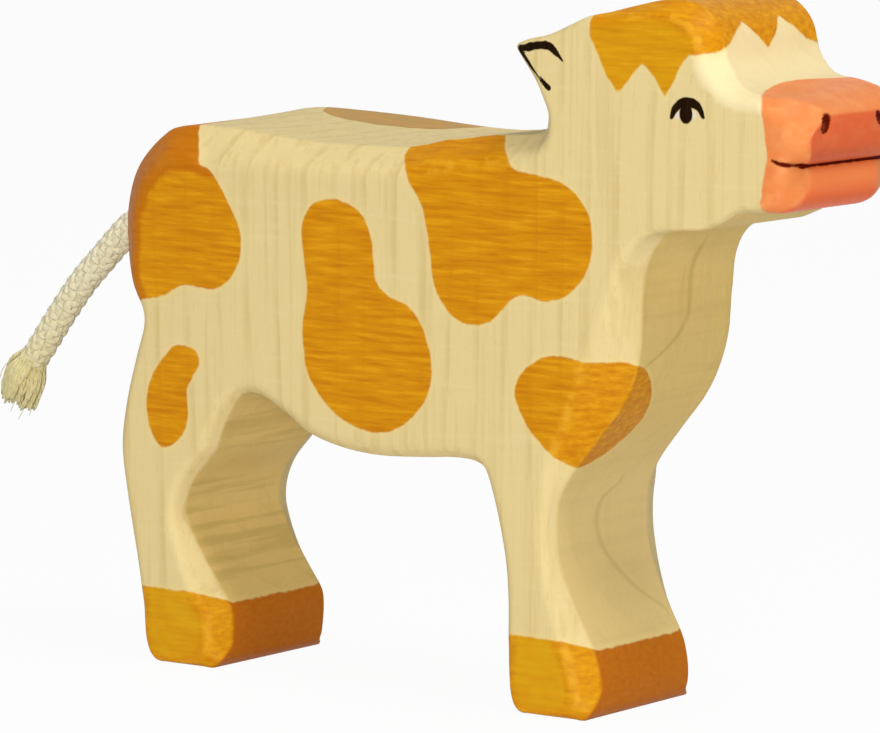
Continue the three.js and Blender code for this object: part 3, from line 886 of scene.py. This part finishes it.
# The cord's middle line in even steps, from the bottom of its seat to the start of the fray
def tail_path():
    pivot = millimetres(frame["joints"][0]["pos_m"])
    root_low, root_high = (millimetres(corner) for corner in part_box("tail_root"))
    seat = (root_high[0], (root_high[0] + root_low[0]) / 2, root_low[0])
    seated = [(x, pivot[2]) for x in seat]
    free = [(pivot[0] - out * TAIL_REACH, pivot[2] - down * TAIL_DROP) for out, down in TAIL_ROUTE]
    dense = catmull_rom(seated + free, ROUTE_STEPS, closed=False)
    lengths = np.concatenate([[0.0], np.cumsum(np.linalg.norm(np.diff(dense, axis=0), axis=1))])
    steps = np.linspace(0.0, lengths[-1], round(lengths[-1] / BRAID_STEP) + 1)
    x, z = (np.interp(steps, lengths, dense[:, axis]) for axis in (0, 1))
    return np.column_stack([x, np.zeros(len(steps)), z]), steps


tail_line, tail_steps = tail_path()
tail_tangent = unit(np.gradient(tail_line, axis=0))
tail_side = np.tile([0.0, 1.0, 0.0], (len(tail_line), 1))
tail_upper = np.cross(tail_tangent, tail_side)


# Rings round a spine, one at each of its points, from two half axes. A ridge lifts them in a few places.
def rings_round(spine, across, upward, sides, ridge=0.0):
    columns = []
    for j in range(sides):
        turn = 2 * math.pi * j / sides
        lift = 1.0 + ridge * math.cos(STRAND_RIDGES * turn)
        columns.append(spine + lift * (math.cos(turn) * across + math.sin(turn) * upward))
    return np.stack(columns, axis=1)


# Closed tubes in one mesh, from their rings, with a place along and round each and a tint for its texture
def tube_object(name, tubes):
    vertices, faces = [], []
    fields = {"along": [], "turn": [], "tint": []}
    start = 0
    for rings, lengths, tint in tubes:
        count, sides = rings.shape[:2]
        end = start + (count - 1) * sides
        for ring in range(start, end, sides):
            for j in range(sides):
                a, b = ring + j, ring + (j + 1) % sides
                faces.append((a, b, b + sides, a + sides))
        faces.append(tuple(reversed(range(start, start + sides))))
        faces.append(tuple(range(end, end + sides)))
        vertices.append(rings.reshape(-1, 3))
        fields["along"].append(np.repeat(lengths, sides))
        fields["turn"].append(np.tile(np.arange(sides) / sides, count))
        fields["tint"].append(np.full(count * sides, tint))
        start = end + sides
    obj = smooth_object(name, np.vstack(vertices), faces)
    add_attributes(obj, {label: np.concatenate(parts) for label, parts in fields.items()})
    return obj


# One flat strand wound round the cord, passing over and under those wound the other way
def braid_strand(hand, phase):
    angle = hand * 2 * math.pi * tail_steps / BRAID_PITCH + phase
    lift = hand * BRAID_WAVE * np.cos(2 * STRANDS_EACH_WAY * math.pi * tail_steps / BRAID_PITCH)
    radius = CORD_DIAMETER / 2 - STRAND_HALF_THICKNESS - BRAID_WAVE + lift
    radial = np.cos(angle)[:, None] * tail_side + np.sin(angle)[:, None] * tail_upper
    spine = tail_line + radius[:, None] * radial
    across = unit(np.cross(unit(np.gradient(spine, axis=0)), radial))
    half_axes = (STRAND_HALF_WIDTH * across, STRAND_HALF_THICKNESS * radial)
    return rings_round(spine, *half_axes, STRAND_SIDES, STRAND_RIDGE)


def make_braid():
    tubes = []
    rng = random.Random(SEED)
    for hand in (1, -1):
        for k in range(STRANDS_EACH_WAY):
            strand = braid_strand(hand, 2 * math.pi * k / STRANDS_EACH_WAY)
            tubes.append((strand, tail_steps, rng.random()))
    core = rings_round(tail_line, CORE_RADIUS * tail_side, CORE_RADIUS * tail_upper, STRAND_SIDES)
    tubes.append((core, tail_steps, 0.0))
    return tube_object("tail_braid", tubes)


braid = make_braid()


# One loose yarn that opens out from the end of the braid
def yarn_rings(rng, radius, length, flare):
    turn = rng.uniform(0, 2 * math.pi)
    share = math.sqrt(rng.random())
    swirl = rng.uniform(-YARN_SWIRL, YARN_SWIRL)
    bend = rng.uniform(0, 2 * math.pi)
    sway = rng.uniform(0.0, YARN_SWAY)
    along = np.linspace(0.0, 1.0, YARN_STEPS)
    opening = np.clip(along / YARN_OPENING, 0.0, 1.0)
    opened = opening ** 2 * (3 - 2 * opening)
    reach = share * ((CORD_DIAMETER / 2 - radius) + opened * (flare - CORD_DIAMETER / 2))
    angle = turn + swirl * along
    side, upper, way = tail_side[-1], tail_upper[-1], tail_tangent[-1]
    spine = tail_line[-1] + np.outer(along * (length + YARN_START) - YARN_START, way)
    spine += np.outer(reach * np.cos(angle) + sway * along ** 2 * math.cos(bend), side)
    spine += np.outer(reach * np.sin(angle) + sway * along ** 2 * math.sin(bend), upper)
    spine += np.outer(YARN_DROOP * along ** DROOP_POWER, upper)
    heading = unit(np.gradient(spine, axis=0))
    across = unit(np.cross(heading, upper))
    thick = radius * (1.0 - YARN_TAPER * along ** 3)
    thick[-1] *= YARN_TIP
    half_axes = (thick[:, None] * across, thick[:, None] * np.cross(heading, across))
    return rings_round(spine, *half_axes, YARN_SIDES), along * length


def make_tuft():
    tubes = []
    rng = random.Random(SEED)
    yarns = (YARNS, YARN_RADIUS, YARN_LENGTHS, FLARE_RADIUS)
    wisps = (WISPS, WISP_RADIUS, WISP_LENGTHS, WISP_FLARE)
    for count, radius, lengths, flare in (yarns, wisps):
        for _ in range(count):
            rings, places = yarn_rings(rng, radius, YARN_LENGTH * rng.uniform(*lengths), flare)
            tubes.append((rings, places, rng.random()))
    return tube_object("tail_tuft_yarns", tubes)


tuft = make_tuft()

bpy.context.scene.view_settings.view_transform = "Standard"


# A linear colour from its values on screen
def linear(red, green, blue):
    shares = [value / 255 for value in (red, green, blue)]
    return (*(v / 12.92 if v <= 0.04045 else ((v + 0.055) / 1.055) ** 2.4 for v in shares), 1.0)


# Short ways to add nodes to a material or a world
class Nodes:
    def __init__(self, owner):
        owner.use_nodes = True
        self.owner = owner
        self.tree = owner.node_tree
        self.shader = self.tree.nodes.get("Principled BSDF")

    def add(self, kind):
        return self.tree.nodes.new("ShaderNode" + kind)

    def join(self, value, socket):
        if isinstance(value, bpy.types.NodeSocket):
            self.tree.links.new(value, socket)
        else:
            socket.default_value = value

    def shade(self, label, value):
        self.join(value, self.shader.inputs[label])

    def finish(self, values):
        for label, value in values.items():
            self.shade(label, value)

    def place(self):
        return self.add("TexCoord").outputs["Object"]

    def field(self, label):
        node = self.add("Attribute")
        node.attribute_name = label
        return node.outputs["Fac"]

    def operate(self, kind, operation, values):
        node = self.add(kind)
        node.operation = operation
        for value, socket in zip(values, node.inputs):
            self.join(value, socket)
        return node.outputs

    def math(self, operation, *values):
        return self.operate("Math", operation, values)["Value"]

    def vector(self, operation, *values):
        return self.operate("VectorMath", operation, values)["Value" if operation == "LENGTH" else "Vector"]

    def plus(self, a, b):
        return self.math("ADD", a, b)

    def minus(self, a, b):
        return self.math("SUBTRACT", a, b)

    def times(self, a, b):
        return self.math("MULTIPLY", a, b)

    # Noise with so many features in a millimetre along X, Y and Z
    def noise(self, per_mm, detail=2.0, roughness=0.5):
        node = self.add("TexNoise")
        node.inputs["Scale"].default_value = 1.0
        node.inputs["Detail"].default_value = detail
        node.inputs["Roughness"].default_value = roughness
        scaled = self.vector("MULTIPLY", self.place(), tuple(v / MM for v in per_mm))
        self.join(scaled, node.inputs["Vector"])
        return node.outputs["Fac"]

    # Passes smoothly from start to end while the value goes from low to high
    def step(self, value, low, high, start=0.0, end=1.0):
        node = self.add("MapRange")
        node.interpolation_type = "SMOOTHSTEP"
        self.join(value, node.inputs["Value"])
        for label, number in (("From Min", low), ("From Max", high), ("To Min", start), ("To Max", end)):
            node.inputs[label].default_value = number
        return node.outputs["Result"]

    # Sockets 0, 6, 7 and output 2 are the ones that this node has for colours
    def mix(self, share, a, b, blend="MIX"):
        node = self.add("Mix")
        node.data_type = "RGBA"
        node.blend_type = blend
        self.join(share, node.inputs[0])
        for tone, index in ((a, 6), (b, 7)):
            self.join(linear(*tone) if isinstance(tone, tuple) else tone, node.inputs[index])
        return node.outputs[2]

    # Lays coats over a tone. Each has a pattern, the share of it that shows, and a colour.
    def coats(self, tone, *coats):
        for pattern, share, colour in coats:
            tone = self.mix(self.times(pattern, share), tone, colour)
        return tone

    # Relief from patterns, each by its weight
    def bump(self, distance, strength, *patterns):
        height = 0.0
        for pattern, weight in patterns:
            height = self.plus(height, self.times(pattern, weight))
        node = self.add("Bump")
        node.inputs["Distance"].default_value = distance * MM
        node.inputs["Strength"].default_value = strength
        self.join(height, node.inputs["Height"])
        self.shade("Normal", node.outputs["Normal"])

    # One where a ray comes from the camera, a reflection or glass, nought for light and shadow
    def seen_rays(self):
        rays = self.add("LightPath").outputs
        seen = self.math("MAXIMUM", rays["Is Camera Ray"], rays["Is Glossy Ray"])
        return self.math("MAXIMUM", seen, rays["Is Transmission Ray"])

    def mix_shaders(self, share, first, second, output):
        node = self.add("MixShader")
        for value, socket in zip((share, first.outputs[0], second.outputs[0]), node.inputs):
            self.join(value, socket)
        self.join(node.outputs[0], self.tree.nodes[output].inputs["Surface"])


# Patterns that several layers of the wood share. Fibres run along Z.
def wood_grain(n):
    drift = n.noise((0.035, 0.035, 0.012), detail=3.0)
    from_pith = n.vector("SUBTRACT", n.place(), tuple(v * MM for v in PITH))
    from_pith = n.vector("LENGTH", n.vector("MULTIPLY", from_pith, (1.0, 1.0, 0.0)))
    ring = n.math("FRACT", n.plus(n.times(from_pith, 1 / (RING_PITCH * MM)), n.times(drift, RING_DRIFT)))
    patchy = n.noise((0.5, 0.5, 0.07))
    # The grain is calmer under the warm painted shade
    calm = n.minus(1.0, n.times(n.field("warm_shade"), WARM_SHADE_CALM))
    late = n.times(n.step(ring, 0.62, 0.93), n.step(ring, 1.0, 0.95))
    return SimpleNamespace(
        drift=drift, patchy=patchy, calm=calm,
        late=n.times(n.times(late, n.step(patchy, 0.3, 0.7)), calm),
        fibre=n.noise((3.0, 3.0, 0.07), detail=3.0, roughness=0.6),
        pore=n.step(n.noise((5.0, 5.0, 0.5), detail=1.0), 0.66, 0.74),
        streak=n.noise((0.14, 0.9, 1.8), detail=4.0, roughness=0.6),
        blotch=n.noise((0.35, 0.35, 0.6), detail=3.0),
    )


# Bare wood, with warm painted shade on sawn faces turned forward or down, and a paler halo round the stain
def wood_tone(n, grain):
    fleck = n.noise((0.13, 0.6, 1.0), detail=3.0, roughness=0.55)
    broad = n.noise((0.7, 0.7, 0.025), detail=3.0, roughness=0.6)
    saw_line = n.step(n.noise((0.07, 0.03, 0.62), detail=3.0), 0.49, 0.64)
    from_arc = n.math("ABSOLUTE", n.plus(n.field("rings"), n.times(grain.drift, ARC_DRIFT)))
    arc = n.times(n.step(from_arc, ARC_HALF_WIDTH, 0.0), n.step(grain.patchy, 0.2, 0.6, 0.25, 0.5))
    wood = n.coats(
        WOOD_PALE,
        (grain.late, 0.5, WOOD_LATE),
        (n.step(fleck, 0.52, 0.72), 0.35, WOOD_FLECK),
        (n.step(grain.fibre, 0.35, 0.75), 0.08, WOOD_LATE),
        (n.times(grain.calm, n.step(broad, 0.5, 0.68)), 0.3, WOOD_LATE),
        (grain.pore, 0.16, WOOD_PORE),
    )
    return n.coats(
        # Warm painted shade on sawn faces turned forward or down
        n.mix(n.field("warm_shade"), wood, WOOD_SHADE_WARMTH, "MULTIPLY"),
        (n.times(n.field("marks"), saw_line), 0.42, WOOD_RING),
        (arc, 1.0, WOOD_RING),
        (n.field("pale"), 0.6, WOOD_PALEST),
        (n.step(n.field("ochre"), HALO_WIDTH, 0.0), 0.35, WOOD_HALO),
    )


# Ochre stain: streaked, golden on hooves and forelock, thin on the back, rubbed at the corners
def stain_tone(n, grain, worn, soak_and_shade):
    stain = n.coats(
        OCHRE,
        (n.step(grain.streak, 0.5, 0.66), 0.9, OCHRE_PALE),
        (n.step(grain.streak, 0.5, 0.34), 0.9, OCHRE_DEEP),
        (grain.late, 0.3, OCHRE_DEEP),
        (n.field("golden"), n.step(grain.blotch, 0.3, 0.7, 0.75, 0.4), OCHRE_GOLDEN),
        (n.field("thin"), n.step(grain.streak, 0.42, 0.58, 0.95, 0.62), OCHRE_THIN),
        (worn, 1.0, OCHRE_RUBBED),
        (soak_and_shade, 0.6, OCHRE),
    )
    return n.mix(soak_and_shade, stain, OCHRE_SUNK, "MULTIPLY")


# Coral paint of the muzzle: redder on the lower lip, rubbed at the corners, darker where it sinks in, and
# with painted shade towards the lower lip's underside
def coral_tone(n, grain, worn, soak_and_shade):
    coral = n.coats(
        CORAL,
        (n.step(grain.blotch, 0.35, 0.7), 1.0, CORAL_PALE),
        (grain.fibre, 0.18, CORAL_DEEP),
        (n.field("rosy"), 0.85, CORAL_LIP),
    )
    # Coral sinks in darker, and takes painted shade under the lower lip
    return n.coats(n.mix(soak_and_shade, coral, CORAL_SUNK_AND_SHADED, "MULTIPLY"), (worn, 0.6, CORAL_RUBBED))


# Pale wood with stain and paint on it
def wood_material():
    n = Nodes(bpy.data.materials.new("painted_wood"))
    grain = wood_grain(n)
    # Where paint sinks in, the rump's darker rim, and painted shade under the lower lip
    soak_and_shade = n.field("soak_and_shade")
    rubbed = n.step(n.noise((0.5, 0.5, 0.5), detail=4.0), 0.42, 0.66, end=RUBBED_SHARE)
    worn = n.times(n.field("worn"), rubbed)
    wander = n.times(n.minus(n.noise((0.8, 0.8, 0.35), detail=3.0), 0.5), EDGE_WOBBLE)
    cover = {}
    for label, blur in PAINT_BLUR.items():
        cover[label] = n.step(n.plus(n.field(label), wander), blur, -blur)
    line_tone = n.mix(n.step(grain.fibre, 0.3, 0.7), LINE_BLACK, LINE_BROWN)
    n.shade("Base Color", n.coats(
        wood_tone(n, grain),
        (cover["ochre"], 1.0, stain_tone(n, grain, worn, soak_and_shade)),
        (cover["coral"], 1.0, coral_tone(n, grain, worn, soak_and_shade)),
        (cover["white"], 1.0, EYE_WHITE),
        (cover["dark"], 1.0, MOUTH_DARK),
        # Painted highlight low inside the nostrils
        (cover["nostril_highlight"], 0.7, NOSTRIL_HIGHLIGHT),
        (cover["black"], 1.0, line_tone),
    ))
    thick = n.math("MAXIMUM", cover["coral"], cover["black"])
    coated = n.math("MAXIMUM", thick, n.times(cover["ochre"], OCHRE_COAT))
    bare = n.step(grain.fibre, 0.3, 0.7, 0.5, 0.62)
    n.shade("Roughness", n.minus(bare, n.times(coated, COAT_SMOOTHING)))
    matting = n.times(n.math("MAXIMUM", cover["black"], cover["dark"]), LINE_MATTING)
    n.shade("Specular IOR Level", n.minus(WOOD_SPECULAR, matting))
    n.bump(*WOOD_BUMP, (grain.fibre, 0.25), (grain.late, 0.35), (grain.pore, -0.4), (coated, 0.3))
    return n.owner


# Cotton: yarns twisted along each strand, with a tint of its own on each, and painted shade in the grooves
# between plies
def cotton_material(name, yellowing, bump):
    n = Nodes(bpy.data.materials.new(name))
    along = n.field("along")
    twist = n.plus(n.times(along, 1 / YARN_TWIST_PITCH), n.times(n.field("turn"), YARN_PLIES))
    ply = n.math("ABSOLUTE", n.minus(n.math("FRACT", twist), 0.5))
    groove = n.step(ply, 0.32, 0.5)
    fibre = n.noise((2.5, 2.5, 2.5), detail=4.0, roughness=0.65)
    fine = n.noise((9.0, 9.0, 9.0))
    tone = n.mix(n.step(fibre, 0.35, 0.7), COTTON_PALE, COTTON_SHADED)
    tone = n.mix(n.step(along, *yellowing), tone, COTTON_YELLOWED, "MULTIPLY")
    tint = n.field("tint")
    # The grooves between plies take painted shade
    n.shade("Base Color", n.coats(tone, (groove, 0.3, COTTON_GROOVE_SHADE), (tint, 0.2, COTTON_WARM)))
    n.shade("Roughness", n.step(fine, 0.3, 0.7, 0.85, 0.97))
    n.finish(COTTON_FINISH)
    n.bump(bump, COTTON_BUMP_STRENGTH, (fibre, 0.5), (fine, 0.35), (groove, -1.0))
    return n.owner


def glue_material():
    n = Nodes(bpy.data.materials.new("cured_glue"))
    cloud = n.noise((0.8, 0.8, 0.8), detail=3.0)
    n.shade("Base Color", n.mix(cloud, GLUE_PALE, GLUE_AMBER))
    n.shade("Roughness", n.step(cloud, 0.3, 0.7, 0.25, 0.45))
    n.bump(*GLUE_BUMP, (cloud, 1.0))
    return n.owner


body.data.materials.append(wood_material())
braid.data.materials.append(cotton_material("cotton_cord", CORD_YELLOWING, CORD_BUMP))
tuft.data.materials.append(cotton_material("cotton_fray", FRAY_YELLOWING, FRAY_BUMP))
glue = frame["nodes"]["tail_glue"].data.materials
glue.clear()
glue.append(glue_material())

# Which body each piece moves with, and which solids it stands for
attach(body, "figure")
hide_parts("wooden_body")
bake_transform(braid)
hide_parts("tail_root", "tail_cord")
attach(tuft, "tail")
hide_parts("tail_tuft")


# The floor shows near white to the camera and keeps the object's shadow
def add_floor():
    bpy.ops.mesh.primitive_plane_add(size=FLOOR_SIZE)
    floor = bpy.context.object
    floor.name = "floor"
    n = Nodes(bpy.data.materials.new("floor"))
    n.finish(FLOOR_FINISH)
    n.mix_shaders(n.times(n.seen_rays(), FLOOR_WHITENESS), n.shader, n.add("Emission"), "Material Output")
    floor.data.materials.append(n.owner)


def add_lamp(name, way, power):
    data = bpy.data.lights.new(name, "AREA")
    data.energy = power
    data.size = LAMP_SIZE
    lamp = link(bpy.data.objects.new(name, data))
    lamp.location = Vector(way).normalized() * LAMP_DISTANCE
    lamp.rotation_euler = (-lamp.location).to_track_quat("-Z", "Y").to_euler()


# The world lights the object dimly and shows white behind it
def add_world():
    world = bpy.data.worlds.new("world")
    bpy.context.scene.world = world
    n = Nodes(world)
    light = n.tree.nodes["Background"]
    white = n.add("Background")
    for background in (light, white):
        background.inputs["Color"].default_value = WHITE
    light.inputs["Strength"].default_value = WORLD_STRENGTH
    n.mix_shaders(n.seen_rays(), light, white, "World Output")


add_floor()
for lamp in LAMPS:
    add_lamp(*lamp)
add_world()
